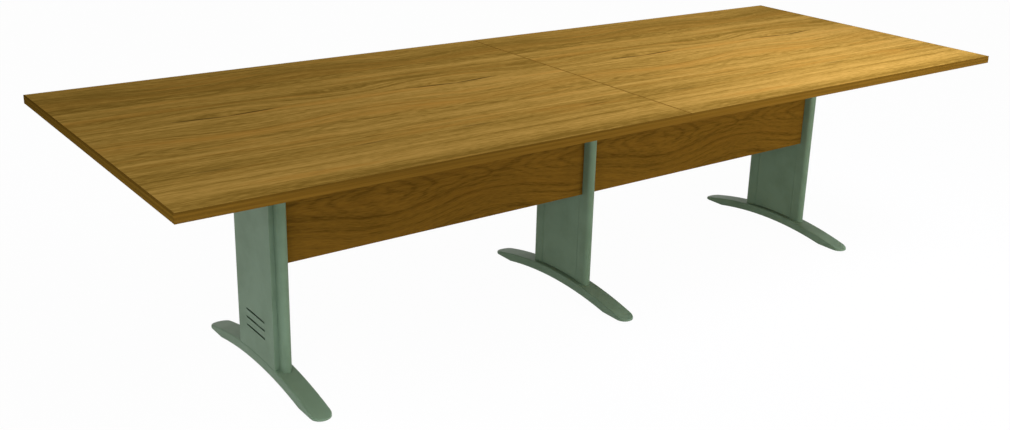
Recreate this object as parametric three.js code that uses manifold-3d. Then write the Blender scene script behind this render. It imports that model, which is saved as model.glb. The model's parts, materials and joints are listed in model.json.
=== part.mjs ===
// A free-standing conference table. Two boards butt at the middle and rest on three pedestal legs, and a
// modesty panel closes each bay. A leg is two oblong tubes on an arched pressed foot, with sheet plates
// between the tubes, so that cables run down inside it behind a slotted cover.
// Millimetres, +Z up, +X along the table, -Y on the side of the panels. The origin is on the floor under
// the middle of the top.

import * as THREE from 'three';
import { ParametricGeometry } from 'three/addons/geometries/ParametricGeometry.js';
import { mergeVertices } from 'three/addons/utils/BufferGeometryUtils.js';
import Module from 'manifold-3d';

// Top
const TABLE_LENGTH = 3000;
const TABLE_WIDTH = 1100;
const TABLE_HEIGHT = 740;
const TOP_THICKNESS = 25;
const SEAM_GAP = 0.6;
const BAND_THICKNESS = 2.5;
const BAND_ROUNDING = 1.2;

// Joining plates under the seam
const JOINT_PLATE_LENGTH = 120;
const JOINT_PLATE_WIDTH = 40;
const JOINT_PLATE_THICKNESS = 3;
const JOINT_PLATE_CORNER = 6;
const JOINT_PLATE_SETBACK = 80;
const JOINT_HOLE_RADIUS = 2.5;
const JOINT_HOLE_INSET = 14;

// Legs
const LEG_SPACING = 1066;
const COLUMN_WIDTH = 29;
const COLUMN_DEPTH = 58;
const COLUMN_WALL = 2;
const COLUMN_SPACING = 220;

// Foot: one sheet pressed to an arch, with flat pads and round ends
const FOOT_LENGTH = 700;
const FOOT_WIDTH = 59;
const FOOT_RISE = 51.6;
const FOOT_DEPTH = 27.6;
const FOOT_SHEET = 2;
const FOOT_ROUNDING = 4;
const FOOT_TIP_WALL = 0.5;

// Levelling glides and the threaded plates that hold them
const GLIDE_HEIGHT = 9;
const GLIDE_RADIUS = 13;
const GLIDE_EDGE = 1.5;
const GLIDE_RIM_HEIGHT = 4.5;
const GLIDE_COLLAR_RADIUS = 8;
const GLIDE_COLLAR_HEIGHT = 2;
const GLIDE_STEM_RADIUS = 4;
const GLIDE_STEM_LENGTH = 13;
const GLIDE_PLATE_LENGTH = 50;
const GLIDE_PLATE_THICKNESS = 3;

// Top beam: a folded channel with tapered ends
const BEAM_SETBACK = 150;
const BEAM_WIDTH = 58;
const BEAM_HEIGHT = 30;
const BEAM_TIP_HEIGHT = 12;
const BEAM_TAPER_LENGTH = 120;
const BEAM_SHEET = 2;
const BEAM_HOLE_RADIUS = 3.5;
const BEAM_HOLE_SPACING = 32;
const BEAM_HOLE_INSET = 150;

// Plain plates between the columns
const PLATE_SHEET = 1.5;
const PLATE_LAP = 5;
const PLATE_FRONT_LAP = 10.5;
const PLATE_FOOT_GAP = 2.5;
const CABLE_ENTRY = 45;

// Slotted cable covers on the outer faces of the end legs
const COVER_SHEET = 1.5;
const COVER_SETBACK = 0.5;
const COVER_OVERHANG = 2;
const COVER_FOOT_GAP = 0.6;
const COVER_TOP_GAP = 2;
const SLOT_COUNT = 3;
const SLOT_LENGTH = 117;
const SLOT_HEIGHT = 6;
const SLOT_PITCH = 25;
const LOWEST_SLOT = 131;
const CLIP_SHEET = 1.5;
const CLIP_HEIGHT = 30;
const LOWER_CLIP = 260;
const UPPER_CLIP_DROP = 125;

// Modesty panels and their angle brackets
const PANEL_THICKNESS = 18;
const PANEL_HEIGHT = 320;
const PANEL_TOP_GAP = 2;
const PANEL_PLATE_GAP = 1;
const BRACKET_LEG = 30;
const BRACKET_SHEET = 2;
const BRACKET_HEIGHT = 120;

// Clearance between pieces that are fitted to each other
const SEAT_GAP = 0.3;

// Fineness of curves
const ARC_SEGMENTS = 6;
const ARCH_SEGMENTS = 16;
const ARCH_STEPS = 14;
const PAD_STEPS = 2;
const END_STEPS = 12;
const ROUNDING_STEPS = 3;
const GLIDE_SEGMENTS = 20;
const HOLE_SEGMENTS = 12;
const MERGE_DISTANCE = 1e-4;

// Levels and places that follow from the sizes
const TOP_UNDERSIDE = TABLE_HEIGHT - TOP_THICKNESS;
const BEAM_LENGTH = TABLE_WIDTH - 2 * BEAM_SETBACK;
const BEAM_UNDERSIDE = TOP_UNDERSIDE - BEAM_HEIGHT;
const COLUMN_TOP = TOP_UNDERSIDE - BEAM_SHEET;
const FOOT_CROWN = GLIDE_HEIGHT + FOOT_RISE;
const FOOT_TIP_DROP = FOOT_RISE - FOOT_ROUNDING - FOOT_TIP_WALL;
const FOOT_RADIUS = ((FOOT_LENGTH / 2) ** 2 + FOOT_TIP_DROP ** 2) / (2 * FOOT_TIP_DROP);
const FOOT_END_RADIUS = FOOT_WIDTH / 2;
const FOOT_END_CENTRE = FOOT_LENGTH / 2 - FOOT_END_RADIUS;
const COLUMN_SIDE = COLUMN_WIDTH / 2;
const COLUMN_PLACE = COLUMN_SPACING / 2;
const COLUMN_NOSE = COLUMN_PLACE - COLUMN_DEPTH / 2;
const PLATE_EDGE = COLUMN_NOSE + PLATE_LAP;
const COVER_FACE = FOOT_WIDTH / 2 - COVER_SETBACK;
const COVER_EDGE = COLUMN_PLACE + COVER_OVERHANG;
const PANEL_BACK = -(PLATE_EDGE + PANEL_PLATE_GAP);
const UPPER_CLIP = BEAM_UNDERSIDE - UPPER_CLIP_DROP;
const PANEL_TOP = BEAM_UNDERSIDE - PANEL_TOP_GAP;

const wasm = await Module();
wasm.setup();

const melamine = new THREE.MeshStandardMaterial({ color: 0x997538, roughness: 0.45, metalness: 0 });
const edging = new THREE.MeshStandardMaterial({ color: 0x5f4316, roughness: 0.4, metalness: 0 });
const panelWood = new THREE.MeshStandardMaterial({ color: 0x6b4a17, roughness: 0.5, metalness: 0 });
const paint = new THREE.MeshStandardMaterial({ color: 0x6e816f, roughness: 0.45, metalness: 0.1 });
const zinc = new THREE.MeshStandardMaterial({ color: 0xa4a8a8, roughness: 0.4, metalness: 0.9 });
const blackPlastic = new THREE.MeshStandardMaterial({ color: 0x202220, roughness: 0.6, metalness: 0 });

const X_AXIS = new THREE.Vector3(1, 0, 0);
const Y_AXIS = new THREE.Vector3(0, 1, 0);
const Z_AXIS = new THREE.Vector3(0, 0, 1);

// An outline drawn in (y, z) is extruded along X, and one drawn in (x, z) along Y.
const ALONG_X = new THREE.Matrix4().makeBasis(Y_AXIS, Z_AXIS, X_AXIS);
const ALONG_Y = new THREE.Matrix4().makeBasis(X_AXIS, Z_AXIS, Y_AXIS.clone().negate());

/** Merges shared corners and drops the triangles that have closed up to a line. */
function weld(geometry) {
  const bare = geometry.clone();
  bare.deleteAttribute('normal');
  bare.deleteAttribute('uv');
  const merged = mergeVertices(bare, MERGE_DISTANCE);
  const corners = merged.index.array;
  const kept = [];
  for (let i = 0; i < corners.length; i += 3) {
    const [a, b, c] = corners.slice(i, i + 3);
    if (a !== b && b !== c && c !== a) kept.push(a, b, c);
  }
  merged.setIndex(kept);
  return merged;
}

/** A geometry as a solid that can be joined and cut. */
function toSolid(geometry) {
  const welded = weld(geometry);
  const vertProperties = Float32Array.from(welded.attributes.position.array);
  const triVerts = Uint32Array.from(welded.index.array);
  return new wasm.Manifold(new wasm.Mesh({ numProp: 3, vertProperties, triVerts }));
}

/** A solid as a geometry. */
function toGeometry(solid) {
  const { vertProperties, triVerts } = solid.getMesh();
  const geometry = new THREE.BufferGeometry();
  geometry.setAttribute('position', new THREE.BufferAttribute(vertProperties, 3));
  geometry.setIndex(new THREE.BufferAttribute(triVerts, 1));
  return geometry;
}

/** A body with each cutter taken out of it. */
function cut(body, cutters) {
  const solid = cutters.reduce((left, cutter) => left.subtract(toSolid(cutter)), toSolid(body));
  return toGeometry(solid);
}

/** A prism of an outline, centred on the direction that it is extruded in. */
function prism(outline, depth, turn, curveSegments = ARC_SEGMENTS) {
  const geometry = new THREE.ExtrudeGeometry(outline, { depth, bevelEnabled: false, curveSegments });
  geometry.translate(0, 0, -depth / 2);
  if (turn) geometry.applyMatrix4(turn);
  return geometry;
}

/** An upright prism of a plan outline between two levels. */
function upright(outline, low, high) {
  return prism(outline, high - low).translate(0, 0, (low + high) / 2);
}

/** A box between two corners. */
function box(low, high) {
  const size = new THREE.Vector3().subVectors(high, low);
  const centre = new THREE.Vector3().addVectors(low, high).multiplyScalar(0.5);
  return new THREE.BoxGeometry(size.x, size.y, size.z).translate(centre.x, centre.y, centre.z);
}

/** A box whose sides lie at equal distances from the Z axis. */
function centredBox(halfX, halfY, low, high) {
  return box(new THREE.Vector3(-halfX, -halfY, low), new THREE.Vector3(halfX, halfY, high));
}

/** An upright round bar. */
function roundBar(radius, x, y, low, high) {
  const bar = new THREE.CylinderGeometry(radius, radius, high - low, HOLE_SEGMENTS);
  return bar.rotateX(Math.PI / 2).translate(x, y, (low + high) / 2);
}

/** A closed outline of straight lines through the points given. */
function polygon(points) {
  return new THREE.Shape(points.map(([x, y]) => new THREE.Vector2(x, y)));
}

/** A slot with half-round ends: an outline, or a hole where the path given is a plain Path. */
function slot(path, length, width, x = 0, y = 0) {
  const radius = width / 2;
  const reach = length / 2 - radius;
  path.absarc(x + reach, y, radius, -Math.PI / 2, Math.PI / 2);
  path.absarc(x - reach, y, radius, Math.PI / 2, Math.PI * 1.5);
  path.closePath();
  return path;
}

/** A rectangle with round corners. */
function roundedRectangle(width, height, radius) {
  const x = width / 2 - radius;
  const y = height / 2 - radius;
  const outline = new THREE.Shape();
  outline.absarc(x, y, radius, 0, Math.PI / 2);
  outline.absarc(-x, y, radius, Math.PI / 2, Math.PI);
  outline.absarc(-x, -y, radius, Math.PI, Math.PI * 1.5);
  outline.absarc(x, -y, radius, Math.PI * 1.5, Math.PI * 2);
  outline.closePath();
  return outline;
}

/** One named sub-part. */
function piece(name, geometry, material) {
  const mesh = new THREE.Mesh(weld(geometry), material);
  mesh.name = name;
  return mesh;
}

/** The section of an edge band: flat on the board, with its two outer edges rounded. */
function bandSection() {
  const outline = new THREE.Shape();
  const face = BAND_THICKNESS - BAND_ROUNDING;
  outline.moveTo(0, 0);
  outline.absarc(face, BAND_ROUNDING, BAND_ROUNDING, -Math.PI / 2, 0);
  outline.absarc(face, TOP_THICKNESS - BAND_ROUNDING, BAND_ROUNDING, 0, Math.PI / 2);
  outline.lineTo(0, TOP_THICKNESS);
  outline.closePath();
  return outline;
}

/** A straight run of edge band: its back lies on the YZ plane and it looks towards +X. */
function edgeBand(length) {
  return prism(bandSection(), length, ALONG_Y, ROUNDING_STEPS);
}

/** One half of the top: a board and the four bands round it. The side is -1 on the left, 1 on the right. */
function topHalf(side, name) {
  const half = new THREE.Group();
  const seam = SEAM_GAP / 2;
  const end = TABLE_LENGTH / 2;
  const span = end - seam;
  const middle = side * (seam + end) / 2;
  const boardLength = span - 2 * BAND_THICKNESS;
  const boardWidth = TABLE_WIDTH - 2 * BAND_THICKNESS;

  const slab = centredBox(boardLength / 2, boardWidth / 2, 0, TOP_THICKNESS);
  const board = piece(`top_board_${name}`, slab, melamine);
  const front = piece(`edge_band_${name}_front`, edgeBand(span), edging);
  const rear = piece(`edge_band_${name}_rear`, edgeBand(span), edging);
  const outer = piece(`edge_band_${name}_end`, edgeBand(boardWidth), edging);
  const inner = piece(`edge_band_${name}_seam`, edgeBand(boardWidth), edging);
  front.rotation.z = -Math.PI / 2;
  front.position.y = -boardWidth / 2;
  rear.rotation.z = Math.PI / 2;
  rear.position.y = boardWidth / 2;
  const towardsEnd = side > 0 ? 0 : Math.PI;
  outer.rotation.z = towardsEnd;
  outer.position.x = side * boardLength / 2;
  inner.rotation.z = towardsEnd + Math.PI;
  inner.position.x = -side * boardLength / 2;

  half.position.set(middle, 0, TOP_UNDERSIDE);
  half.add(board, front, rear, outer, inner);
  return half;
}

/** A flat steel plate under the seam, screwed to both boards. */
function jointPlate(name, side) {
  const outline = roundedRectangle(JOINT_PLATE_LENGTH, JOINT_PLATE_WIDTH, JOINT_PLATE_CORNER);
  const holeX = JOINT_PLATE_LENGTH / 2 - JOINT_HOLE_INSET;
  const holeY = JOINT_PLATE_WIDTH / 2 - JOINT_HOLE_INSET;
  for (const x of [-holeX, holeX]) {
    for (const y of [-holeY, holeY]) {
      const hole = new THREE.Path();
      hole.absarc(x, y, JOINT_HOLE_RADIUS, 0, Math.PI * 2);
      outline.holes.push(hole);
    }
  }
  const geometry = upright(outline, TOP_UNDERSIDE - JOINT_PLATE_THICKNESS, TOP_UNDERSIDE);
  const plate = piece(name, geometry, zinc);
  plate.position.y = side * (TABLE_WIDTH / 2 - JOINT_PLATE_SETBACK);
  return plate;
}

/** Height of the foot's upper skin at a distance from the leg's middle. */
function footTop(y) {
  return FOOT_CROWN - FOOT_RADIUS + Math.sqrt(FOOT_RADIUS ** 2 - y ** 2);
}

/** Height of the foot's lower rim: the arch, or the pads where the arch would come below them. */
function footRim(y) {
  return Math.max(GLIDE_HEIGHT, footTop(y) - FOOT_DEPTH);
}

/** Where the arch meets a pad. */
function padStart() {
  const sag = FOOT_RISE - FOOT_DEPTH;
  return Math.sqrt(2 * FOOT_RADIUS * sag - sag ** 2);
}

/** Places along the straight side of the foot, from one end centre to the other, with the pads' starts. */
function footStations() {
  const start = padStart();
  const stations = [];
  for (let i = 0; i < PAD_STEPS; i++) {
    stations.push(THREE.MathUtils.lerp(-FOOT_END_CENTRE, -start, i / PAD_STEPS));
  }
  for (let i = 0; i < ARCH_STEPS; i++) {
    stations.push(THREE.MathUtils.lerp(-start, start, i / ARCH_STEPS));
  }
  for (let i = 0; i <= PAD_STEPS; i++) {
    stations.push(THREE.MathUtils.lerp(start, FOOT_END_CENTRE, i / PAD_STEPS));
  }
  return stations;
}

/** The foot's plan as points on a side or round an end, each with its end centre and its way outwards. */
function footPlan() {
  const stations = footStations();
  const plan = stations.map((y) => ({ y, outX: 1, outY: 0 }));
  for (let i = 1; i < END_STEPS; i++) {
    const angle = Math.PI * i / END_STEPS;
    plan.push({ y: FOOT_END_CENTRE, outX: Math.cos(angle), outY: Math.sin(angle) });
  }
  const otherSide = plan.map(({ y, outX, outY }) => ({ y: -y, outX: -outX, outY: -outY }));
  return [...plan, ...otherSide];
}

/** Rings of the pressed sheet, from the ridge down the inside, under the rim and up the outside. */
function footRings() {
  const innerRounding = FOOT_ROUNDING - FOOT_SHEET;
  const rounding = (radius, depth) => (step) => {
    const angle = Math.PI / 2 * step / ROUNDING_STEPS;
    const inset = FOOT_ROUNDING - radius * Math.sin(angle);
    const drop = depth + radius * (1 - Math.cos(angle));
    return { inset, height: (y) => footTop(y) - drop };
  };
  const steps = Array.from({ length: ROUNDING_STEPS + 1 }, (_, step) => step);
  const inside = steps.map(rounding(innerRounding, FOOT_SHEET));
  const outside = steps.map(rounding(FOOT_ROUNDING, 0)).reverse();
  return [
    { inset: FOOT_END_RADIUS, height: (y) => footTop(y) - FOOT_SHEET },
    ...inside,
    { inset: FOOT_SHEET, height: footRim },
    { inset: 0, height: footRim },
    ...outside,
    { inset: FOOT_END_RADIUS, height: footTop },
  ];
}

/** The pressed foot: one open-bottomed shell, swept as rings that follow the plan and the arch. */
function footShell() {
  const plan = footPlan();
  const rings = footRings();
  const surface = (u, v, target) => {
    const { y, outX, outY } = plan[Math.round(u * plan.length) % plan.length];
    const { inset, height } = rings[Math.round(v * (rings.length - 1))];
    const reach = FOOT_END_RADIUS - inset;
    const placeY = y + outY * reach;
    target.set(outX * reach, placeY, height(placeY));
  };
  return new ParametricGeometry(surface, plan.length, rings.length - 1);
}

/** Everything below the foot's upper skin, grown by a clearance: it saddles what stands on the foot. */
function footCutter(clearance) {
  const radius = FOOT_RADIUS + clearance;
  const halfSpan = FOOT_LENGTH / 2;
  const lean = Math.asin(halfSpan / radius);
  const outline = new THREE.Shape();
  outline.moveTo(-halfSpan, -FOOT_CROWN);
  outline.lineTo(halfSpan, -FOOT_CROWN);
  outline.absarc(0, FOOT_CROWN - FOOT_RADIUS, radius, Math.PI / 2 - lean, Math.PI / 2 + lean);
  outline.closePath();
  return prism(outline, 2 * FOOT_WIDTH, ALONG_X, ARCH_SEGMENTS);
}

/** A threaded plate that is welded across one end of the foot. */
function glidePlate(name, side, place) {
  const halfWidth = FOOT_END_RADIUS - FOOT_SHEET - SEAT_GAP;
  const plate = centredBox(halfWidth, GLIDE_PLATE_LENGTH / 2, 0, GLIDE_PLATE_THICKNESS);
  const boreRadius = GLIDE_STEM_RADIUS + SEAT_GAP;
  const bore = roundBar(boreRadius, 0, 0, -GLIDE_PLATE_THICKNESS, 2 * GLIDE_PLATE_THICKNESS);
  const mesh = piece(name, cut(plate, [bore]), zinc);
  mesh.position.set(0, side * place, GLIDE_HEIGHT);
  return mesh;
}

/** A levelling glide: a round base with a collar and a stem. */
function glide(name, side, place) {
  const profile = [
    [0, 0],
    [GLIDE_RADIUS - GLIDE_EDGE, 0],
    [GLIDE_RADIUS, GLIDE_EDGE],
    [GLIDE_RADIUS, GLIDE_RIM_HEIGHT],
    [GLIDE_COLLAR_RADIUS, GLIDE_HEIGHT - GLIDE_COLLAR_HEIGHT],
    [GLIDE_COLLAR_RADIUS, GLIDE_HEIGHT],
    [GLIDE_STEM_RADIUS, GLIDE_HEIGHT],
    [GLIDE_STEM_RADIUS, GLIDE_HEIGHT + GLIDE_STEM_LENGTH],
    [0, GLIDE_HEIGHT + GLIDE_STEM_LENGTH],
  ];
  const points = profile.map(([radius, height]) => new THREE.Vector2(radius, height));
  const lathe = new THREE.LatheGeometry(points, GLIDE_SEGMENTS).rotateX(Math.PI / 2);
  const mesh = piece(name, lathe, blackPlastic);
  mesh.position.y = side * place;
  return mesh;
}

/** An oblong tube, saddled on the foot. */
function column(name, side) {
  const outline = slot(new THREE.Shape(), COLUMN_DEPTH, COLUMN_WIDTH);
  const bore = slot(new THREE.Path(), COLUMN_DEPTH - 2 * COLUMN_WALL, COLUMN_WIDTH - 2 * COLUMN_WALL);
  outline.holes.push(bore);
  const tube = upright(outline, 0, COLUMN_TOP).rotateZ(Math.PI / 2).translate(0, side * COLUMN_PLACE, 0);
  return piece(name, cut(tube, [footCutter(SEAT_GAP)]), paint);
}

/** The channel on top of a leg, open below, with tapered ends and holes for the screws to the boards. */
function topBeam(name) {
  const tip = BEAM_LENGTH / 2;
  const shoulder = tip - BEAM_TAPER_LENGTH;
  const tipUnderside = TOP_UNDERSIDE - BEAM_TIP_HEIGHT;
  const outline = polygon([
    [-shoulder, BEAM_UNDERSIDE],
    [shoulder, BEAM_UNDERSIDE],
    [tip, tipUnderside],
    [tip, TOP_UNDERSIDE],
    [-tip, TOP_UNDERSIDE],
    [-tip, tipUnderside],
  ]);
  const blank = prism(outline, BEAM_WIDTH, ALONG_X);
  const insideWidth = BEAM_WIDTH - 2 * BEAM_SHEET;
  const inside = centredBox(insideWidth / 2, BEAM_LENGTH, BEAM_UNDERSIDE - BEAM_HEIGHT, COLUMN_TOP);
  const cutters = [inside];
  for (const x of [-BEAM_HOLE_SPACING / 2, BEAM_HOLE_SPACING / 2]) {
    for (const y of [BEAM_HOLE_INSET - tip, tip - BEAM_HOLE_INSET]) {
      cutters.push(roundBar(BEAM_HOLE_RADIUS, x, y, BEAM_UNDERSIDE, TABLE_HEIGHT));
    }
  }
  return piece(name, cut(blank, cutters), paint);
}

/** A shallow pan between the columns, flush with their faces, with room for cables to enter over it. Its
 *  front edge runs out on the front column, its rear edge leaves a seam, and its lower edge follows the
 *  foot. The side is the way that it looks: 1 towards +X. */
function innerPlate(name, side) {
  const lipEnd = Math.sqrt((COLUMN_SIDE + SEAT_GAP) ** 2 - (COLUMN_SIDE - PLATE_LAP) ** 2);
  const back = COLUMN_SIDE - PLATE_SHEET;
  const lip = PLATE_EDGE - PLATE_SHEET;
  const front = -(COLUMN_NOSE + PLATE_FRONT_LAP);
  const points = [
    [COLUMN_SIDE, front],
    [COLUMN_SIDE, PLATE_EDGE],
    [lipEnd, PLATE_EDGE],
    [lipEnd, lip],
    [back, lip],
    [back, -lip],
    [lipEnd, -lip],
    [lipEnd, front],
  ];
  const outline = polygon(points.map(([x, y]) => [side * x, y]));
  const grown = slot(new THREE.Shape(), COLUMN_DEPTH + 2 * SEAT_GAP, COLUMN_WIDTH + 2 * SEAT_GAP);
  const frontColumn = upright(grown, 0, TABLE_HEIGHT).rotateZ(Math.PI / 2).translate(0, -COLUMN_PLACE, 0);
  const pan = upright(outline, 0, BEAM_UNDERSIDE - CABLE_ENTRY);
  return piece(name, cut(pan, [frontColumn, footCutter(PLATE_FOOT_GAP)]), paint);
}

/** The removable tray over a leg's outer side, with its row of slots. It looks towards +X. */
function cableCover(name) {
  const root = COLUMN_SIDE + SEAT_GAP;
  const back = COVER_FACE - COVER_SHEET;
  const flange = COVER_EDGE - COVER_SHEET;
  const outline = polygon([
    [COVER_FACE, -COVER_EDGE],
    [COVER_FACE, COVER_EDGE],
    [root, COVER_EDGE],
    [root, flange],
    [back, flange],
    [back, -flange],
    [root, -flange],
    [root, -COVER_EDGE],
  ]);
  const tray = upright(outline, 0, BEAM_UNDERSIDE - COVER_TOP_GAP);
  const cutters = [footCutter(COVER_FOOT_GAP)];
  for (let i = 0; i < SLOT_COUNT; i++) {
    const opening = slot(new THREE.Shape(), SLOT_LENGTH, SLOT_HEIGHT, 0, LOWEST_SLOT + i * SLOT_PITCH);
    cutters.push(prism(opening, 2 * COVER_SHEET, ALONG_X, ROUNDING_STEPS).translate(COVER_FACE, 0, 0));
  }
  return piece(name, cut(tray, cutters), paint);
}

/** A strap between the columns that the cable cover clips on. It looks towards +X. */
function coverClip(name, level) {
  const face = COVER_FACE - COVER_SHEET - SEAT_GAP;
  const edge = COLUMN_NOSE - SEAT_GAP;
  const outline = polygon([
    [0, -edge],
    [face, -edge],
    [face, edge],
    [0, edge],
    [0, edge - CLIP_SHEET],
    [face - CLIP_SHEET, edge - CLIP_SHEET],
    [face - CLIP_SHEET, CLIP_SHEET - edge],
    [0, CLIP_SHEET - edge],
  ]);
  return piece(name, upright(outline, level - CLIP_HEIGHT / 2, level + CLIP_HEIGHT / 2), zinc);
}

/** The foot, glides, columns and beam that all three legs share. */
function pedestal(name) {
  const leg = new THREE.Group();
  const glidePlace = FOOT_END_CENTRE - GLIDE_PLATE_LENGTH / 2;
  leg.add(piece(`foot_${name}`, footShell(), paint), topBeam(`top_beam_${name}`));
  for (const [end, side] of [['front', -1], ['rear', 1]]) {
    leg.add(
      column(`column_${name}_${end}`, side),
      glidePlate(`glide_plate_${name}_${end}`, side, glidePlace),
      glide(`glide_${name}_${end}`, side, glidePlace),
    );
  }
  return leg;
}

/** An end leg: a plain plate towards the middle of the table and a clipped cover on the outer side. */
function endLeg(name, side) {
  const leg = pedestal(name);
  const outer = new THREE.Group();
  outer.add(
    cableCover(`cable_cover_${name}`),
    coverClip(`cover_clip_${name}_lower`, LOWER_CLIP),
    coverClip(`cover_clip_${name}_upper`, UPPER_CLIP),
  );
  outer.rotation.z = side > 0 ? 0 : Math.PI;
  leg.add(outer, innerPlate(`inner_plate_${name}`, -side));
  leg.position.x = side * LEG_SPACING;
  return leg;
}

/** The middle leg: a plain plate on both sides. */
function middleLeg() {
  const leg = pedestal('middle');
  leg.add(innerPlate('inner_plate_middle_left', -1), innerPlate('inner_plate_middle_right', 1));
  return leg;
}

/** An angle between a panel's back and a leg's plate. The side is the way from the leg to the panel. */
function panelBracket(name, legX, side) {
  const face = side * COLUMN_SIDE;
  const outline = polygon([
    [face, PANEL_BACK],
    [face + side * BRACKET_LEG, PANEL_BACK],
    [face + side * BRACKET_LEG, PANEL_BACK + BRACKET_SHEET],
    [face + side * BRACKET_SHEET, PANEL_BACK + BRACKET_SHEET],
    [face + side * BRACKET_SHEET, PANEL_BACK + BRACKET_LEG],
    [face, PANEL_BACK + BRACKET_LEG],
  ]);
  const middle = PANEL_TOP - PANEL_HEIGHT / 2;
  const low = middle - BRACKET_HEIGHT / 2;
  const bracket = piece(name, upright(outline, low, low + BRACKET_HEIGHT), zinc);
  bracket.position.x = legX;
  return bracket;
}

/** The modesty panel of one bay, between two front columns, with its brackets. */
function modestyPanel(name, side) {
  const bay = new THREE.Group();
  const halfLength = LEG_SPACING / 2 - COLUMN_SIDE - SEAT_GAP;
  const low = new THREE.Vector3(-halfLength, PANEL_BACK - PANEL_THICKNESS, PANEL_TOP - PANEL_HEIGHT);
  const high = new THREE.Vector3(halfLength, PANEL_BACK, PANEL_TOP);
  bay.add(
    piece(`modesty_panel_${name}`, box(low, high), panelWood),
    panelBracket(`panel_bracket_${name}_outer`, side * LEG_SPACING / 2, -side),
    panelBracket(`panel_bracket_${name}_inner`, -side * LEG_SPACING / 2, side),
  );
  bay.position.x = side * LEG_SPACING / 2;
  return bay;
}

const table = new THREE.Group();
table.add(
  topHalf(-1, 'left'),
  topHalf(1, 'right'),
  jointPlate('joint_plate_front', -1),
  jointPlate('joint_plate_rear', 1),
  endLeg('left', -1),
  middleLeg(),
  endLeg('right', 1),
  modestyPanel('left', -1),
  modestyPanel('right', 1),
);

export default table;
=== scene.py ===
"""A conference table dressed around its solids: wood prints, satin paint and screws."""

import json
import logging
import math
from dataclasses import dataclass, field
from enum import Enum
from typing import Any

import bmesh
import bpy
from mathutils import Matrix, Vector

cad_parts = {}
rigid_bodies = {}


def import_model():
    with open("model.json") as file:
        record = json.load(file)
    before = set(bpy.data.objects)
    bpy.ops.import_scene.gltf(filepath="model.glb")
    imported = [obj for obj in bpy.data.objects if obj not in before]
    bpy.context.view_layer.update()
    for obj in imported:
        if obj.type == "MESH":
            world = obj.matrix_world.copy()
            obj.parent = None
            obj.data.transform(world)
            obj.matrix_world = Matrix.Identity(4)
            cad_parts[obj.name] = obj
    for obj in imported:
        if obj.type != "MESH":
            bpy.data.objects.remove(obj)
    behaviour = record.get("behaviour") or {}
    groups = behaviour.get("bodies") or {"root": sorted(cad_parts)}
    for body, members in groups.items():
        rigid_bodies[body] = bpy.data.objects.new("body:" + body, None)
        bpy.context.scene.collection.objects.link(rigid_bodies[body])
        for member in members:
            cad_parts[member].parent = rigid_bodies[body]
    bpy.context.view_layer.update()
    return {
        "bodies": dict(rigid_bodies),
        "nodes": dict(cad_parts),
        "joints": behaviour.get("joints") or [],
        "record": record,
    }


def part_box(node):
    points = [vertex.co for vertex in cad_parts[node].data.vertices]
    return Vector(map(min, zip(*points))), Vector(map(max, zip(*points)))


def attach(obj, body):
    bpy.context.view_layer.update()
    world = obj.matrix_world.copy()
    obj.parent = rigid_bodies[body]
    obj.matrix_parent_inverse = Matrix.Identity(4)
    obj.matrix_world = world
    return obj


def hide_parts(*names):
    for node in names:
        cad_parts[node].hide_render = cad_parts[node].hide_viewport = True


log = logging.getLogger("conference_table")

Colour = tuple[float, float, float, float]
Point = tuple[float, float, float]
Span = tuple[float, float]

IMAGE_WIDTH = 1010
IMAGE_HEIGHT = 430
MILLIMETRE = 0.001
WELD_DISTANCE = 2e-6
FLAT_ANGLE = math.radians(0.5)
SHARP_ANGLE = math.radians(40)
ROUNDING_FACES = 3
NOISE_MEAN = 0.5
UPWARDS = Vector((0, 0, 1))
DOWNWARDS = (0, 0, -1)
REARWARDS = (0, 1, 0)


def seen(red: int, green: int, blue: int) -> Colour:
    """Turns a colour as seen on a screen into scene-linear light.

    Args:
        red: Red from 0 to 255.
        green: Green from 0 to 255.
        blue: Blue from 0 to 255.

    Returns:
        The linear colour with an alpha of 1.
    """
    knee, slope, lift, power = 0.04045, 12.92, 0.055, 2.4

    def linear(channel: int) -> float:
        """Undoes the screen's curve for one channel."""
        share = channel / 255
        return share / slope if share <= knee else ((share + lift) / (1 + lift)) ** power

    return (linear(red), linear(green), linear(blue), 1.0)


WHITE = seen(255, 255, 255)


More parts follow.
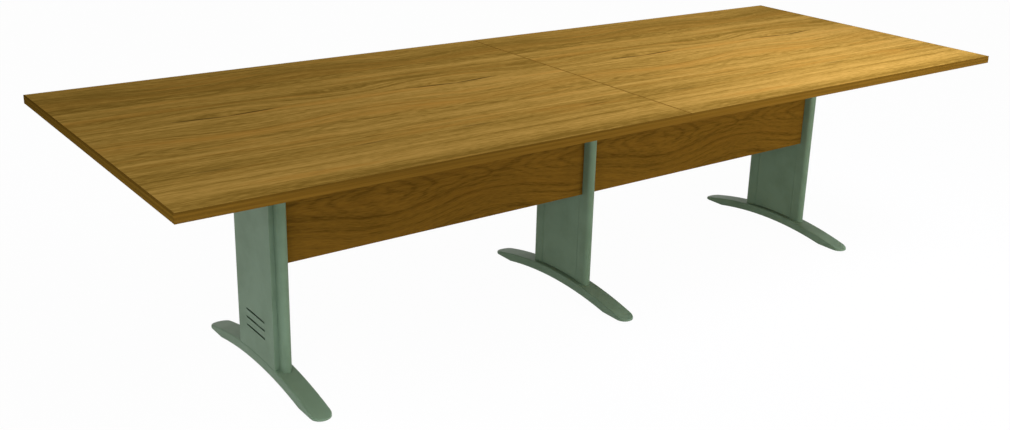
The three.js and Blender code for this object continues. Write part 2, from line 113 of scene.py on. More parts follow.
class Signal:
    """A shader socket that takes part in arithmetic."""

    def __init__(self, recipe: "Recipe", socket: bpy.types.NodeSocket) -> None:
        """Keeps the recipe that the socket belongs to."""
        self.recipe = recipe
        self.socket = socket

    def pick(self, name: str) -> "Signal":
        """Another output of the node that this signal comes from."""
        return Signal(self.recipe, self.socket.node.outputs[name])

    def math(self, operation: str, *terms: "Signal | float") -> "Signal":
        """Adds one Math node that starts from the terms given."""
        return self.recipe.node("ShaderNodeMath", {"operation": operation}, dict(enumerate(terms)))

    def __add__(self, other: "Signal | float") -> "Signal":
        """Sum."""
        return self.math("ADD", self, other)

    def __radd__(self, other: "Signal | float") -> "Signal":
        """Sum, from the right."""
        return self.math("ADD", other, self)

    def __sub__(self, other: "Signal | float") -> "Signal":
        """Difference."""
        return self.math("SUBTRACT", self, other)

    def __rsub__(self, other: "Signal | float") -> "Signal":
        """Difference, from the right."""
        return self.math("SUBTRACT", other, self)

    def __mul__(self, other: "Signal | float") -> "Signal":
        """Product."""
        return self.math("MULTIPLY", self, other)

    def __rmul__(self, other: "Signal | float") -> "Signal":
        """Product, from the right."""
        return self.math("MULTIPLY", other, self)

    def __truediv__(self, other: "Signal | float") -> "Signal":
        """Quotient."""
        return self.math("DIVIDE", self, other)

    def __rtruediv__(self, other: "Signal | float") -> "Signal":
        """Quotient, from the right."""
        return self.math("DIVIDE", other, self)

    def wrapped(self, length: float) -> "Signal":
        """The remainder over a repeat length, also for values under zero."""
        return self.math("FLOORED_MODULO", self, length)

    def sine(self) -> "Signal":
        """Sine of a value in radians."""
        return self.math("SINE", self)

    def size(self) -> "Signal":
        """Absolute value."""
        return self.math("ABSOLUTE", self)

    def root(self) -> "Signal":
        """Square root."""
        return self.math("SQRT", self)

    def step(self, low: float, high: float) -> "Signal":
        """A smooth step from 0 at the low value to 1 at the high one."""
        ends = {"Value": self, "From Min": low, "From Max": high}
        return self.recipe.node("ShaderNodeMapRange", {"interpolation_type": "SMOOTHSTEP"}, ends)


class Recipe:
    """The nodes of one finish, or of the world."""

    def __init__(self, tree: bpy.types.NodeTree) -> None:
        """Starts from an empty node tree."""
        self.tree = tree
        self.tree.nodes.clear()

    def node(
        self,
        kind: str,
        settings: dict[str, Any] | None = None,
        inputs: dict[int | str, Any] | None = None,
        output: int | str = 0,
    ) -> Signal:
        """Makes any node.

        Args:
            kind: The node's type.
            settings: Values of the node itself, set first. A ramp's colours go under "stops".
            inputs: Values or signals of its sockets, by name or number.
            output: The output that the signal starts from.

        Returns:
            The signal of that output.
        """
        made = self.tree.nodes.new(kind)
        for key, value in (settings or {}).items():
            if key == "stops":
                self.set_stops(made.color_ramp, value)
            else:
                setattr(made, key, value)
        for key, value in (inputs or {}).items():
            self.feed(made.inputs[key], value)
        return Signal(self, made.outputs[output])

    def feed(self, socket: bpy.types.NodeSocket, value: Any) -> None:
        """Links a signal to a socket, or sets the socket's own value.

        Args:
            socket: The socket.
            value: A signal, or a value of the socket's own kind.
        """
        if isinstance(value, Signal):
            self.tree.links.new(value.socket, socket)
        else:
            socket.default_value = value

    @staticmethod
    def set_stops(ramp: bpy.types.ColorRamp, stops: list[tuple[float, Colour]]) -> None:
        """Gives a ramp its stops.

        Args:
            ramp: The ramp of a new node.
            stops: The place and the colour of each stop, in order.
        """
        while len(ramp.elements) < len(stops):
            ramp.elements.new(1.0)
        for element, (place, colour) in zip(ramp.elements, stops):
            element.position = place
            element.color = colour

    def place(self) -> tuple[Signal, Signal, Signal]:
        """Reads the piece's own coordinates.

        Returns:
            One signal in metres for each axis.
        """
        coordinates = self.node("ShaderNodeTexCoord", output="Object")
        x = self.node("ShaderNodeSeparateXYZ", inputs={0: coordinates}, output="X")
        return x, x.pick("Y"), x.pick("Z")

    def point(self, x: Signal | float, y: Signal | float, z: Signal | float) -> Signal:
        """A vector of three values."""
        return self.node("ShaderNodeCombineXYZ", inputs={0: x, 1: y, 2: z})

    def noise(self, point: Signal, detail: float, roughness: float = 0.5) -> Signal:
        """Fractal noise at a point, about 0.5 on average."""
        values = {"Vector": point, "Scale": 1.0, "Detail": detail, "Roughness": roughness}
        return self.node("ShaderNodeTexNoise", inputs=values)

    def grit(self, fineness: float, detail: float, roughness: float = 0.5) -> Signal:
        """Fractal noise that is alike in all directions, with its fineness in turns a metre."""
        x, y, z = (axis * fineness for axis in self.place())
        return self.noise(self.point(x, y, z), detail, roughness)

    def ramp(self, value: Signal, stops: list[tuple[float, Colour]]) -> Signal:
        """A colour looked up on a ramp."""
        return self.node("ShaderNodeValToRGB", {"stops": stops}, {0: value})

    def mix(self, share: Signal, first: Signal | Colour, second: Colour) -> Signal:
        """One colour laid over another."""
        colours = {0: share, 6: first, 7: second}
        return self.node("ShaderNodeMix", {"data_type": "RGBA"}, colours, output=2)

    def end(self, kind: str, surface: Signal) -> None:
        """Links a shader to the tree's output."""
        self.feed(self.tree.nodes.new(kind).inputs["Surface"], surface)

    def bump(self, height: Signal, depth: float, strength: float) -> Signal:
        """A normal bent by a height, with the depth in metres."""
        values = {"Strength": strength, "Distance": depth, "Height": height}
        return self.node("ShaderNodeBump", inputs=values)


@dataclass(frozen=True)
class Finish:
    """A finish with its gloss. Each kind paints its own surface."""

    name: str
    roughness: float
    specular: float = 0.4
    metallic: float = 0.0

    def paint(self, recipe: Recipe) -> dict[str, Any]:
        """The shader's sockets that change over the surface."""
        raise NotImplementedError

    def material(self) -> bpy.types.Material:
        """Makes the material.

        Returns:
            A material of one Principled shader.
        """
        made = bpy.data.materials.new(self.name)
        made.use_nodes = True
        recipe = Recipe(made.node_tree)
        sockets = {
            "Roughness": self.roughness,
            "Specular IOR Level": self.specular,
            "Metallic": self.metallic,
        }
        sockets.update(self.paint(recipe))
        shader = recipe.node("ShaderNodeBsdfPrincipled", inputs=sockets)
        recipe.end("ShaderNodeOutputMaterial", shader)
        return made


class Grain(Enum):
    """The way that the grain of a wood print runs."""

    ALONG_TABLE = "x"
    ACROSS_TABLE = "y"


class Face(Enum):
    """The way that a printed face looks, with the axis that lies across its grain."""

    UP = "y"
    FRONT = "z"


@dataclass(frozen=True)
class Strip:
    """A strip along the grain: its level and reach across it, and how much it adds there."""

    level: float
    reach: float
    amount: float

    def share(self, across: Signal) -> Signal:
        """The amount at a place: all of it on the strip's middle line, none past its reach."""
        aside = (across - self.level) / self.reach
        return (1 - (aside * aside).step(0.0, 1.0)) * self.amount


@dataclass(frozen=True)
class Vein:
    """One dark streak, placed in metres from the middle of the figure and across the grain."""

    along: float
    across: float
    reach: float
    slope: float
    strength: float = 0.85
    width: float = 0.007

    def share(self, along: Signal, across: Signal) -> Signal:
        """How dark the streak is.

        Args:
            along: The distance from the middle of the figure.
            across: The place across the grain.

        Returns:
            The streak's strength on its line, and 0 outside it.
        """
        far = (along - self.along) / self.reach
        aside = (across - self.across - far * (self.slope * self.reach)) / self.width
        return (1 - (far * far + aside * aside).step(0.0, 1.0)) * self.strength


@dataclass(frozen=True)
class Layer:
    """A layer of noise: how fine it is along and across the grain, and how much it counts."""

    along: float
    across: float
    seed: float
    weight: float
    detail: float = 2.0
    roughness: float = 0.5

    def noise(self, along: Signal, across: Signal, seed: float = 0.0) -> Signal:
        """The layer's noise without its weight.

        Args:
            along: The place along the grain.
            across: The place across the grain.
            seed: What sets this print apart from others with the same layer.

        Returns:
            Noise of about 0.5 on average.
        """
        recipe = along.recipe
        point = recipe.point(along * self.along, across * self.across, seed + self.seed)
        return recipe.noise(point, self.detail, self.roughness)


@dataclass(frozen=True)
class WoodPrint(Finish):
    """A wood print with its grain along the table, and a figure that is mirrored and repeats."""

    roughness: float = 0.5
    specular: float = 0.0
    face: Face = Face.UP
    sheet_length: float = 1.5
    figure_length: float = 0.729
    figure_middle: float = 0.386
    flame_pitch: float = 0.085
    flame_rise: float = 0.026
    flame_tip: float = 0.005
    seed: float = 0.0
    ground: float = 0.53
    light: Colour = seen(184, 145, 68)
    middle: Colour = seen(158, 124, 52)
    dark: Colour = seen(129, 99, 36)
    warm: Colour = seen(180, 129, 51)
    vein: Colour = seen(78, 58, 20)
    waves: tuple[Strip, ...] = ()
    flames: tuple[Strip, ...] = ()
    bands: tuple[Strip, ...] = ()
    warm_bands: tuple[Strip, ...] = ()
    veins: tuple[Vein, ...] = ()
    sway: Layer = Layer(1.6, 3.0, seed=3.1, weight=0.02)
    shiver: Layer = Layer(9.0, 16.0, seed=7.7, weight=0.008)
    clouds: Layer = Layer(0.9, 8.0, seed=2.6, weight=0.35)
    streaks: Layer = Layer(1.1, 60.0, seed=5.9, weight=0.7, detail=3.0, roughness=0.65)
    dashes: Layer = Layer(9.0, 140.0, seed=4.8, weight=0.75, detail=3.0, roughness=0.7)
    pores: Layer = Layer(40.0, 420.0, seed=2.2, weight=0.6, detail=1.0)
    ripple: Layer = Layer(7.0, 22.0, seed=1.3, weight=2.2, detail=3.0)
    glow: Layer = Layer(2.2, 24.0, seed=6.6, weight=0.4)
    glow_span: Span = (0.52, 0.75)
    flecks: Layer = Layer(11.0, 60.0, seed=9.4, weight=0.3, detail=3.0, roughness=0.6)
    fleck_span: Span = (0.64, 0.76)
    dark_tone: float = 0.25
    middle_tone: float = 0.5
    light_tone: float = 0.75
    gloss_swing: float = 0.12
    relief: float = 0.1 * MILLIMETRE
    relief_strength: float = 0.25

    def paint(self, recipe: Recipe) -> dict[str, Any]:
        """Streaks that sway with the figure, flames, bands and veins over fine pores.

        Args:
            recipe: The recipe of the material.

        Returns:
            The shader's sockets that change over the surface.
        """
        x, y, z = recipe.place()
        along = x.wrapped(self.sheet_length)
        level = y if self.face is Face.UP else z
        far = along - self.figure_middle
        swell = (far * (math.tau / self.figure_length) + math.pi / 2).sine()
        half = self.figure_length / 2
        fold = ((far + half).wrapped(self.figure_length) - half).size()
        across = level
        for layer in (self.sway, self.shiver):
            across = across + (layer.noise(along, level, self.seed) - NOISE_MEAN) * layer.weight
        for wave in self.waves:
            across = across + wave.share(level) * swell
        pores = self.pores.noise(along, across, self.seed) - NOISE_MEAN
        dashes = self.dashes.noise(along, across, self.seed) - NOISE_MEAN
        tone = self.ground + pores * self.pores.weight + dashes * self.dashes.weight
        for layer in (self.clouds, self.streaks):
            tone = tone + (layer.noise(along, across, self.seed) - NOISE_MEAN) * layer.weight
        for band in self.bands:
            tone = tone + band.share(across)
        tone = tone - self.flame_lines(along, level, across, fold)
        tones = [
            (self.dark_tone, self.dark),
            (self.middle_tone, self.middle),
            (self.light_tone, self.light),
        ]
        wood = recipe.ramp(tone, tones)
        glow = self.glow.noise(along, across, self.seed).step(*self.glow_span) * self.glow.weight
        for band in self.warm_bands:
            glow = glow + band.share(across)
        wood = recipe.mix(glow, wood, self.warm)
        flecks = self.flecks.noise(along, across, self.seed).step(*self.fleck_span)
        wood = recipe.mix(flecks * self.flecks.weight, wood, self.vein)
        for vein in self.veins:
            wood = recipe.mix(vein.share(fold, level), wood, self.vein)
        return {
            "Base Color": wood,
            "Roughness": self.roughness + pores * self.gloss_swing,
            "Normal": recipe.bump(pores + dashes, self.relief, self.relief_strength),
        }

    def flame_lines(
        self, along: Signal, level: Signal, across: Signal, fold: Signal
    ) -> Signal | float:
        """The dark lines of the flames, which are nested arches in a row.

        Args:
            along: The place along the grain.
            level: The place across the sheet.
            across: The same with the sway of the grain.
            fold: The distance from the middle of the figure.

        Returns:
            How much darker the flames are there.
        """
        ripple = (self.ripple.noise(along, level, self.seed) - NOISE_MEAN) * self.ripple.weight
        lines: Signal | float = 0.0
        for flame in self.flames:
            aside = across - flame.level
            arch = (aside * aside + self.flame_tip**2).root()
            turns = fold / self.flame_pitch + arch / self.flame_rise + ripple
            line = ((turns * math.tau).sine() + 1) / 2
            lines = lines + line * line * flame.share(level)
        return lines


def board_print() -> WoodPrint:
    """The print of the top, the same sheet on both boards.

    Returns:
        The finish.
    """
    return WoodPrint(
        "board_print",
        waves=(
            Strip(0.43, 0.09, 0.023),
            Strip(0.14, 0.055, -0.026),
            Strip(-0.06, 0.08, 0.021),
        ),
        flames=(
            Strip(0.325, 0.035, 0.13),
            Strip(-0.145, 0.045, 0.13),
            Strip(-0.53, 0.03, 0.1),
        ),
        bands=(
            Strip(0.38, 0.27, -0.09),
            Strip(0.445, 0.012, -0.1),
            Strip(0.425, 0.008, -0.08),
            Strip(0.39, 0.05, -0.08),
            Strip(0.277, 0.018, 0.12),
            Strip(0.214, 0.006, 0.1),
            Strip(0.192, 0.012, -0.13),
            Strip(0.142, 0.008, -0.1),
            Strip(0.115, 0.03, 0.06),
            Strip(0.05, 0.03, 0.08),
            Strip(-0.035, 0.008, -0.07),
            Strip(-0.053, 0.01, -0.1),
            Strip(-0.205, 0.018, 0.14),
            Strip(-0.271, 0.007, 0.12),
            Strip(-0.32, 0.05, -0.09),
            Strip(-0.40, 0.007, 0.08),
            Strip(-0.417, 0.008, -0.09),
            Strip(-0.46, 0.03, 0.11),
            Strip(-0.535, 0.03, -0.12),
        ),
        warm_bands=(
            Strip(0.375, 0.04, 0.15),
            Strip(-0.085, 0.05, 0.18),
        ),
        veins=(
            Vein(0.07, 0.079, 0.112, 0.09),
            Vein(0.21, -0.33, 0.07, 0.05, strength=0.4),
        ),
    )


def panel_print() -> WoodPrint:
    """The print of the modesty panels, with flames in the upper half and waves below them.

    Returns:
        The finish.
    """
    return WoodPrint(
        "panel_print",
        face=Face.FRONT,
        sheet_length=1.066,
        figure_middle=0.335,
        seed=2.7,
        ground=0.54,
        light=seen(124, 90, 28),
        middle=seen(108, 79, 24),
        dark=seen(84, 60, 16),
        warm=seen(112, 78, 23),
        vein=seen(60, 42, 10),
        waves=(Strip(0.42, 0.09, 0.025),),
        flames=(Strip(0.505, 0.045, 0.19), Strip(0.64, 0.045, 0.19)),
        bands=(
            Strip(0.50, 0.04, 0.05),
            Strip(0.458, 0.006, -0.1),
            Strip(0.445, 0.005, -0.06),
            Strip(0.432, 0.007, -0.15),
            Strip(0.417, 0.008, 0.08),
            Strip(0.405, 0.005, -0.08),
            Strip(0.385, 0.02, 0.06),
        ),
    )


@dataclass(frozen=True)
class BandPrint(Finish):
    """The print of the edge bands: streaks, a dark line at the top and a faint one below it."""

    roughness: float = 0.5
    specular: float = 0.0
    grain: Grain = Grain.ALONG_TABLE
    light: Colour = seen(122, 89, 28)
    dark: Colour = seen(97, 70, 20)
    underside: float = 0.715
    thickness: float = 0.025
    line: Strip = Strip(0.48, 0.16, -0.14)
    rim_span: Span = (0.72, 0.86)
    rim_sway: float = 0.1
    rim_depth: float = 0.25
    ground: float = -0.1
    streaks: Layer = Layer(2.0, 5.0, seed=1.7, weight=0.9, detail=4.0, roughness=0.62)
    pores: Layer = Layer(12.0, 20.0, seed=6.3, weight=0.3)
    dark_tone: float = 0.15
    light_tone: float = 0.6
    relief: float = 0.1 * MILLIMETRE
    relief_strength: float = 0.2

    def paint(self, recipe: Recipe) -> dict[str, Any]:
        """Two thin dark lines on a lighter stripe, all with streaks.

        Args:
            recipe: The recipe of the material.

        Returns:
            The shader's sockets that change over the surface.
        """
        x, y, z = recipe.place()
        along = x if self.grain is Grain.ALONG_TABLE else y
        level = (z - self.underside) / self.thickness
        streaks = self.streaks.noise(along, level)
        pores = self.pores.noise(along, level)
        rim = (level + (streaks - NOISE_MEAN) * self.rim_sway).step(*self.rim_span)
        tone = self.ground + streaks * self.streaks.weight + pores * self.pores.weight
        tone = tone + self.line.share(level) - rim * self.rim_depth
        wood = recipe.ramp(tone, [(self.dark_tone, self.dark), (self.light_tone, self.light)])
        relief = recipe.bump(pores, self.relief, self.relief_strength)
        return {"Base Color": wood, "Normal": relief}


@dataclass(frozen=True)
class PowderCoat(Finish):
    """Satin grey-green paint with the fine orange peel of a baked powder."""

    roughness: float = 0.42
    specular: float = 0.1
    colour: Colour = seen(116, 140, 112)
    shade: Colour = seen(107, 130, 102)
    cloud_fineness: float = 9.0
    cloud_detail: float = 4.0
    cloud_roughness: float = 0.6
    cloud_span: Span = (0.35, 0.7)
    gloss_swing: float = 0.1
    peel_fineness: float = 700.0
    peel_detail: float = 1.0
    peel_depth: float = 0.06 * MILLIMETRE
    peel_strength: float = 0.3

    def paint(self, recipe: Recipe) -> dict[str, Any]:
        """Faint clouds of colour and a fine peel.

        Args:
            recipe: The recipe of the material.

        Returns:
            The shader's sockets that change over the surface.
        """
        clouds = recipe.grit(self.cloud_fineness, self.cloud_detail, self.cloud_roughness)
        peel = recipe.grit(self.peel_fineness, self.peel_detail)
        return {
            "Base Color": recipe.mix(clouds.step(*self.cloud_span), self.colour, self.shade),
            "Roughness": self.roughness + (clouds - NOISE_MEAN) * self.gloss_swing,
            "Normal": recipe.bump(peel, self.peel_depth, self.peel_strength),
        }


@dataclass(frozen=True)
class ZincPlate(Finish):
    """Zinc-plated steel with a faint spangle."""

    roughness: float = 0.35
    metallic: float = 1.0
    colour: Colour = seen(190, 194, 196)
    shade: Colour = seen(160, 165, 168)
    spangle_fineness: float = 160.0
    spangle_detail: float = 2.0
    spangle_span: Span = (0.4, 0.6)
    gloss_swing: float = 0.2

    def paint(self, recipe: Recipe) -> dict[str, Any]:
        """Soft spots of two greys.

        Args:
            recipe: The recipe of the material.

        Returns:
            The shader's sockets that change over the surface.
        """
        spangle = recipe.grit(self.spangle_fineness, self.spangle_detail)
        return {
            "Base Color": recipe.mix(spangle.step(*self.spangle_span), self.colour, self.shade),
            "Roughness": self.roughness + (spangle - NOISE_MEAN) * self.gloss_swing,
        }


@dataclass(frozen=True)
class MouldedPlastic(Finish):
    """Black moulded plastic with a fine grain."""

    roughness: float = 0.5
    colour: Colour = seen(44, 46, 44)
    shade: Colour = seen(32, 34, 32)
    mould_fineness: float = 900.0
    mould_detail: float = 2.0
    mould_depth: float = 0.05 * MILLIMETRE
    mould_strength: float = 0.3

    def paint(self, recipe: Recipe) -> dict[str, Any]:
        """A fine mould grain.

        Args:
            recipe: The recipe of the material.

        Returns:
            The shader's sockets that change over the surface.
        """
        mould = recipe.grit(self.mould_fineness, self.mould_detail)
        return {
            "Base Color": recipe.mix(mould, self.colour, self.shade),
            "Normal": recipe.bump(mould, self.mould_depth, self.mould_strength),
        }


@dataclass
class Workshop:
    """The loaded frame and the finishes, with what every sub-assembly needs to make its pieces."""

    frame: dict[str, Any]
    finishes: dict[str, bpy.types.Material] = field(default_factory=dict)
    body_of: dict[str, str] = field(default_factory=dict)
    slot_of: dict[str, str] = field(default_factory=dict)

    def __post_init__(self) -> None:
        """Reads which body and which material slot each node has."""
        record = self.frame["record"]
        for body, nodes in record["behaviour"]["bodies"].items():
            self.body_of.update(dict.fromkeys(nodes, body))
        self.slot_of = {part["node"]: part["material_slot"] for part in record["subparts"]}

    def mix_finishes(self, *finishes: Finish) -> None:
        """Makes the materials of the finishes given."""
        self.finishes.update({finish.name: finish.material() for finish in finishes})

    def keep(self, node: str, finish: str) -> None:
        """Leaves a node as it is and gives it a finish.

        Args:
            node: The node's name.
            finish: The name of its finish.
        """
        mesh = self.frame["nodes"][node].data
        mesh.materials.clear()
        mesh.materials.append(self.finishes[finish])
        log.info("%s: kept, %s", node, finish)

    def add(self, name: str, shape: bmesh.types.BMesh, finish: str, node: str) -> bpy.types.Object:
        """Turns a shape into an object with smooth faces that rides with a node.

        Args:
            name: The piece's name.
            shape: The shape, which is freed.
            finish: The name of its finish.
            node: The node whose body it shares.

        Returns:
            The new object.
        """
        for face in shape.faces:
            face.smooth = True
        mesh = bpy.data.meshes.new(name)
        shape.to_mesh(mesh)
        shape.free()
        mesh.materials.append(self.finishes[finish])
        made = bpy.data.objects.new(name, mesh)
        bpy.context.scene.collection.objects.link(made)
        made.modifiers.new("even_shading", "WEIGHTED_NORMAL").keep_sharp = True
        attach(made, self.body_of[node])
        log.info("%s: %d faces, %s", name, len(mesh.polygons), finish)
        return made

    def soften(self, node: str, finish: str, rounding: float) -> bpy.types.Object:
        """A copy of a node with its sharp edges rounded, which takes the node's place.

        Args:
            node: The node's name.
            finish: The name of the copy's finish.
            rounding: How far the rounding reaches from each edge, in metres.

        Returns:
            The new object.
        """
        shape = bmesh.new()
        shape.from_mesh(self.frame["nodes"][node].data)
        bmesh.ops.remove_doubles(shape, verts=shape.verts, dist=WELD_DISTANCE)
        bmesh.ops.dissolve_limit(
            shape, angle_limit=FLAT_ANGLE, verts=shape.verts, edges=shape.edges
        )
        sharp = [
            edge
            for edge in shape.edges
            if edge.is_manifold and edge.calc_face_angle() > SHARP_ANGLE
        ]
        round_edges(shape, sharp, rounding)
        made = self.add(f"{node}_finished", shape, finish, node)
        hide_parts(node)
        return made


def round_edges(
    shape: bmesh.types.BMesh, edges: list[bmesh.types.BMEdge], reach: float
) -> None:
    """Rounds the edges of a shape.

    Args:
        shape: The shape.
        edges: The edges to round.
        reach: How far the rounding reaches from each edge, in metres.
    """
    bmesh.ops.bevel(
        shape,
        geom=edges,
        offset=reach,
        offset_type="OFFSET",
        affect="EDGES",
        segments=ROUNDING_FACES,
        profile=0.5,
        material=-1,
        clamp_overlap=True,
    )


@dataclass
class ScrewHead:
    """A pan-head screw with a hexagon socket."""

    radius: float = 4.6 * MILLIMETRE
    height: float = 2.4 * MILLIMETRE
    edge: float = 1.2 * MILLIMETRE
    socket: float = 2.0 * MILLIMETRE
    socket_depth: float = 1.3 * MILLIMETRE
    sides: int = 24
    corners: int = 6

    def pattern(self) -> bpy.types.Mesh:
        """One head that stands on the floor of its own mesh, looking up.

        Returns:
            The mesh to stamp with.
        """
        shape = bmesh.new()
        bmesh.ops.create_circle(shape, cap_ends=True, segments=self.sides, radius=self.radius)
        crown = self.raised(shape, shape.faces[:][0], self.height)
        round_edges(shape, list(crown.edges), self.edge)
        crown = max(shape.faces, key=lambda face: face.calc_center_median().z)
        rim = self.radius - self.edge - self.socket
        bmesh.ops.inset_region(shape, faces=[crown], thickness=rim)
        step = math.tau / self.corners
        for corner in crown.verts:
            angle = math.atan2(corner.co.y, corner.co.x) % step - step / 2
            reach = self.socket * math.cos(step / 2) / math.cos(angle)
            corner.co.xy = corner.co.xy.normalized() * reach
        self.raised(shape, crown, -self.socket_depth)
        bmesh.ops.recalc_face_normals(shape, faces=shape.faces)
        mesh = bpy.data.meshes.new("screw_pattern")
        shape.to_mesh(mesh)
        shape.free()
        return mesh

    @staticmethod
    def raised(
        shape: bmesh.types.BMesh, face: bmesh.types.BMFace, height: float
    ) -> bmesh.types.BMFace:
        """Extrudes a face upwards.

        Args:
            shape: The shape that the face belongs to.
            face: The face.
            height: How far up the new face lies, or how far down where it is under zero.

        Returns:
            The new face.
        """
        made = bmesh.ops.extrude_discrete_faces(shape, faces=[face])["faces"][0]
        bmesh.ops.translate(shape, verts=made.verts[:], vec=(0, 0, height))
        return made

    def build(
        self, shop: Workshop, node: str, places: list[Point], outwards: Point
    ) -> bpy.types.Object:
        """Puts heads on a node.

        Args:
            shop: The workshop.
            node: The node that the screws hold.
            places: The middle of each head's seat.
            outwards: The way that the heads stand out.

        Returns:
            One object with all the heads.
        """
        turn = UPWARDS.rotation_difference(Vector(outwards)).to_matrix().to_4x4()
        pattern = self.pattern()
        shape = bmesh.new()
        for place in places:
            known = len(shape.verts)
            shape.from_mesh(pattern)
            shape.verts.ensure_lookup_table()
            matrix = Matrix.Translation(place) @ turn
            bmesh.ops.transform(shape, matrix=matrix, verts=shape.verts[known:])
        bpy.data.meshes.remove(pattern)
        return shop.add(f"screws_{node}", shape, "zinc_plate", node)


@dataclass
class TableTop:
    """The two boards with their edge bands and the plates that join them."""

    sides: tuple[str, ...] = ("left", "right")
    plate_edge: float = 0.5 * MILLIMETRE
    hole_inset: float = 14 * MILLIMETRE
    screw: ScrewHead = field(default_factory=ScrewHead)

    def dress(self, shop: Workshop) -> None:
        """Gives the boards and bands their prints.

        Args:
            shop: The workshop.
        """
        for side in self.sides:
            shop.keep(f"top_board_{side}", "board_print")
            for edge in ("front", "rear"):
                shop.keep(f"edge_band_{side}_{edge}", "band_print_long")
            shop.keep(f"edge_band_{side}_end", "band_print_end")
            shop.keep(f"edge_band_{side}_seam", "band_print_seam")

    def build(self, shop: Workshop) -> None:
        """Makes the joining plates and their screws.

        Args:
            shop: The workshop.
        """
        for end in ("front", "rear"):
            node = f"joint_plate_{end}"
            shop.soften(node, "zinc_plate", self.plate_edge)
            low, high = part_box(node)
            places = [
                (x, y, low.z)
                for x in (low.x + self.hole_inset, high.x - self.hole_inset)
                for y in (low.y + self.hole_inset, high.y - self.hole_inset)
            ]
            self.screw.build(shop, node, places, DOWNWARDS)


@dataclass
class Leg:
    """One pedestal: foot, columns, beam, glides, and plates or a cover between the columns."""

    name: str
    plates: tuple[str, ...]
    covered: bool
    sheet_edge: float = 0.6 * MILLIMETRE
    tube_edge: float = 0.4 * MILLIMETRE
    foot_edge: float = 0.5 * MILLIMETRE
    glide_edge: float = 0.4 * MILLIMETRE
    hole_inset: float = 150 * MILLIMETRE
    hole_spacing: float = 32 * MILLIMETRE
    beam_sheet: float = 2 * MILLIMETRE
    screw: ScrewHead = field(default_factory=lambda: ScrewHead(radius=5.5 * MILLIMETRE))

    def build(self, shop: Workshop) -> None:
        """Makes the leg's finished pieces and its screws.

        Args:
            shop: The workshop.
        """
        shop.soften(f"foot_{self.name}", "powder_coat", self.foot_edge)
        shop.soften(f"top_beam_{self.name}", "powder_coat", self.sheet_edge)
        for end in ("front", "rear"):
            shop.soften(f"column_{self.name}_{end}", "powder_coat", self.tube_edge)
            shop.soften(f"glide_plate_{self.name}_{end}", "zinc_plate", self.sheet_edge)
            shop.soften(f"glide_{self.name}_{end}", "moulded_plastic", self.glide_edge)
        for plate in self.plates:
            shop.soften(plate, "powder_coat", self.sheet_edge)
        if self.covered:
            shop.soften(f"cable_cover_{self.name}", "powder_coat", self.sheet_edge)
            for level in ("lower", "upper"):
                shop.soften(f"cover_clip_{self.name}_{level}", "zinc_plate", self.sheet_edge)
        self.fasten(shop)

    def fasten(self, shop: Workshop) -> None:
        """Puts the screws that hold the beam to the boards inside the channel.

        Args:
            shop: The workshop.
        """
        node = f"top_beam_{self.name}"
        low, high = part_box(node)
        middle = (low.x + high.x) / 2
        places = [
            (middle + side * self.hole_spacing / 2, y, high.z - self.beam_sheet)
            for side in (-1, 1)
            for y in (low.y + self.hole_inset, high.y - self.hole_inset)
        ]
        self.screw.build(shop, node, places, DOWNWARDS)


@dataclass
class PanelBay:
    """A modesty panel with its brackets."""

    name: str
    panel_edge: float = 0.8 * MILLIMETRE
    bracket_edge: float = 0.6 * MILLIMETRE
    bracket_sheet: float = 2 * MILLIMETRE
    screw_inset: float = 18 * MILLIMETRE
    screw: ScrewHead = field(default_factory=ScrewHead)

    def build(self, shop: Workshop) -> None:
        """Makes the finished panel, the brackets and their screws.

        Args:
            shop: The workshop.
        """
        shop.soften(f"modesty_panel_{self.name}", "panel_print", self.panel_edge)
        for end in ("outer", "inner"):
            node = f"panel_bracket_{self.name}_{end}"
            shop.soften(node, "zinc_plate", self.bracket_edge)
            low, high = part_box(node)
            middle = (low.x + high.x) / 2
            places = [
                (middle, low.y + self.bracket_sheet, level)
                for level in (low.z + self.screw_inset, high.z - self.screw_inset)
            ]
            self.screw.build(shop, node, places, REARWARDS)


@dataclass(frozen=True)
class Lamp:
    """A soft square lamp."""

    name: str
    place: Point
    aim: Point
    width: float
    watts: float
    tint: tuple[float, float, float] = (1.0, 1.0, 1.0)
    spread: float = math.pi

    def build(self) -> None:
        """Hangs the lamp and turns it to its aim."""
        light = bpy.data.lights.new(self.name, "AREA")
        light.shape = "SQUARE"
        light.size = self.width
        light.energy = self.watts
        light.color = self.tint
        light.spread = self.spread
        made = bpy.data.objects.new(self.name, light)
        made.location = self.place
        way = Vector(self.aim) - Vector(self.place)
        made.rotation_euler = way.to_track_quat("-Z", "Y").to_euler()
        bpy.context.scene.collection.objects.link(made)
        log.info("%s: %.1f W", self.name, self.watts)


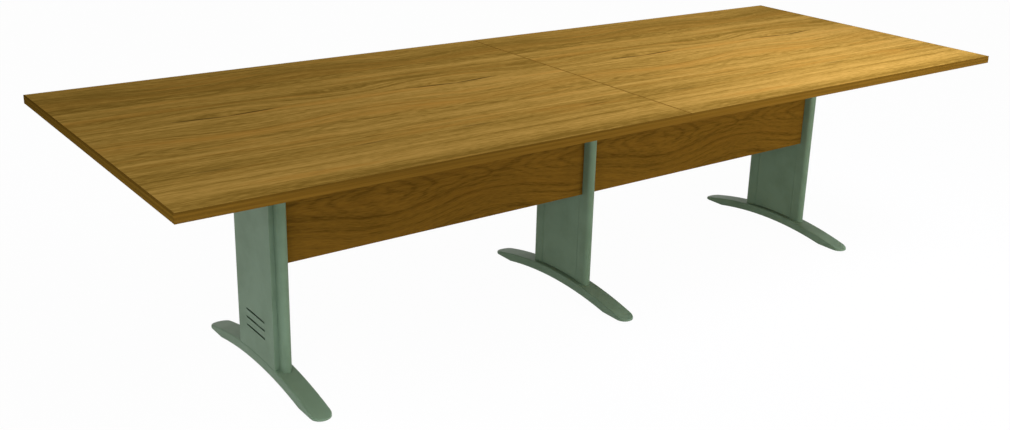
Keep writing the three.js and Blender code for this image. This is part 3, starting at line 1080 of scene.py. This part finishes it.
@dataclass
class Studio:
    """The pale floor, the soft light and the camera."""

    floor_reach: float = 40.0
    floor_colour: Colour = seen(246, 246, 246)
    floor_glow: float = 0.975
    sky_low: float = 0.62
    sky_high: float = 0.23
    focal_pixels: float = 1162.2415
    yaw: float = 0.6828
    pitch: float = -0.3255
    roll: float = 0.0412
    eye: Point = (-2.3004586, -2.784721, 1.6147645)
    axis_pixel: tuple[float, float] = (557.3807, 174.7814)
    sensor: float = 36.0
    lamps: tuple[Lamp, ...] = (
        Lamp(
            "key_lamp",
            place=(1.22, -0.95, 2.1),
            aim=(0.3, 0.0, 0.74),
            width=1.0,
            watts=42.5,
            tint=(0.98, 0.975, 1.25),
        ),
        Lamp(
            "fill_lamp",
            place=(-2.5, -1.3, 1.2),
            aim=(-1.0, 0.0, 0.35),
            width=0.8,
            watts=11.5,
            tint=(0.95, 0.985, 1.25),
        ),
        Lamp(
            "front_lamp",
            place=(1.4, -3.2, 0.72),
            aim=(0.7, 0.0, 0.45),
            width=1.2,
            watts=29.0,
            tint=(1.05, 1.0, 0.93),
        ),
        Lamp(
            "foot_lamp",
            place=(-1.5, -1.5, 1.35),
            aim=(-1.07, -0.28, 0.03),
            width=0.3,
            watts=0.22,
            tint=(1.0, 0.97, 1.15),
            spread=math.radians(28),
        ),
    )

    def build(self) -> None:
        """Makes the world, the floor, the lamps and the camera."""
        bpy.context.scene.view_settings.view_transform = "Standard"
        self.light_world()
        self.lay_floor()
        for lamp in self.lamps:
            lamp.build()
        self.set_camera()

    @staticmethod
    def shown(recipe: Recipe) -> Signal:
        """Tells the rays that show the background from those that only light the object.

        Args:
            recipe: The recipe of the floor or the world.

        Returns:
            1 for a ray from the camera, a reflection or through glass, and 0 for others.
        """
        ray = recipe.node("ShaderNodeLightPath", output="Is Camera Ray")
        direct = ray.math("MAXIMUM", ray, ray.pick("Is Glossy Ray"))
        return ray.math("MAXIMUM", direct, ray.pick("Is Transmission Ray"))

    def light_world(self) -> None:
        """A white surround at a plain level, with more light from the sides than from above."""
        world = bpy.data.worlds.new("surround")
        world.use_nodes = True
        bpy.context.scene.world = world
        recipe = Recipe(world.node_tree)
        way = recipe.node("ShaderNodeTexCoord")
        height = recipe.node("ShaderNodeSeparateXYZ", inputs={0: way}, output="Z")
        light = self.sky_low - height * (self.sky_low - self.sky_high)
        strength = light + self.shown(recipe) * (1 - light)
        white = {"Color": WHITE, "Strength": strength}
        recipe.end("ShaderNodeOutputWorld", recipe.node("ShaderNodeBackground", inputs=white))

    def lay_floor(self) -> None:
        """A wide pale floor that keeps a faint shadow."""
        shape = bmesh.new()
        bmesh.ops.create_grid(shape, x_segments=1, y_segments=1, size=self.floor_reach)
        mesh = bpy.data.meshes.new("floor")
        shape.to_mesh(mesh)
        shape.free()
        material = bpy.data.materials.new("pale_floor")
        material.use_nodes = True
        recipe = Recipe(material.node_tree)
        matt = recipe.node("ShaderNodeBsdfDiffuse", inputs={"Color": self.floor_colour})
        glow = recipe.node("ShaderNodeEmission", inputs={"Color": WHITE, "Strength": 1.0})
        share = self.shown(recipe) * self.floor_glow
        surface = recipe.node("ShaderNodeMixShader", inputs={0: share, 1: matt, 2: glow})
        recipe.end("ShaderNodeOutputMaterial", surface)
        mesh.materials.append(material)
        floor = bpy.data.objects.new("floor", mesh)
        bpy.context.scene.collection.objects.link(floor)

    def set_camera(self) -> None:
        """Puts the camera at the photograph's viewing angle."""
        lens = bpy.data.cameras.new("camera")
        lens.sensor_fit = "HORIZONTAL"
        lens.sensor_width = self.sensor
        lens.lens = self.sensor * self.focal_pixels / IMAGE_WIDTH
        lens.shift_x = (IMAGE_WIDTH / 2 - self.axis_pixel[0]) / IMAGE_WIDTH
        lens.shift_y = (self.axis_pixel[1] - IMAGE_HEIGHT / 2) / IMAGE_WIDTH
        ahead = Vector((math.sin(self.yaw), math.cos(self.yaw), 0))
        look = ahead * math.cos(self.pitch) + UPWARDS * math.sin(self.pitch)
        level = ahead.cross(UPWARDS)
        upright = level.cross(look)
        right = level * math.cos(self.roll) + upright * math.sin(self.roll)
        above = upright * math.cos(self.roll) - level * math.sin(self.roll)
        camera = bpy.data.objects.new("camera", lens)
        turn = Matrix((right, above, -look)).transposed().to_4x4()
        camera.matrix_world = Matrix.Translation(self.eye) @ turn
        bpy.context.scene.collection.objects.link(camera)
        bpy.context.scene.camera = camera


def main() -> None:
    """Builds the table and its studio."""
    logging.basicConfig(level=logging.INFO, format="%(message)s")
    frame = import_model()
    Studio().build()
    shop = Workshop(frame)
    shop.mix_finishes(
        board_print(),
        panel_print(),
        BandPrint("band_print_long"),
        BandPrint(
            "band_print_end",
            grain=Grain.ACROSS_TABLE,
            light=seen(118, 88, 28),
            dark=seen(92, 66, 18),
        ),
        BandPrint(
            "band_print_seam",
            grain=Grain.ACROSS_TABLE,
            light=seen(150, 112, 42),
            dark=seen(128, 94, 33),
        ),
        PowderCoat("powder_coat"),
        ZincPlate("zinc_plate"),
        MouldedPlastic("moulded_plastic"),
    )
    top = TableTop()
    top.dress(shop)
    top.build(shop)
    middle_plates = ("inner_plate_middle_left", "inner_plate_middle_right")
    Leg("left", plates=("inner_plate_left",), covered=True).build(shop)
    Leg("middle", plates=middle_plates, covered=False).build(shop)
    Leg("right", plates=("inner_plate_right",), covered=True).build(shop)
    for bay in ("left", "right"):
        PanelBay(bay).build(shop)


if __name__ == "__main__":
    main()
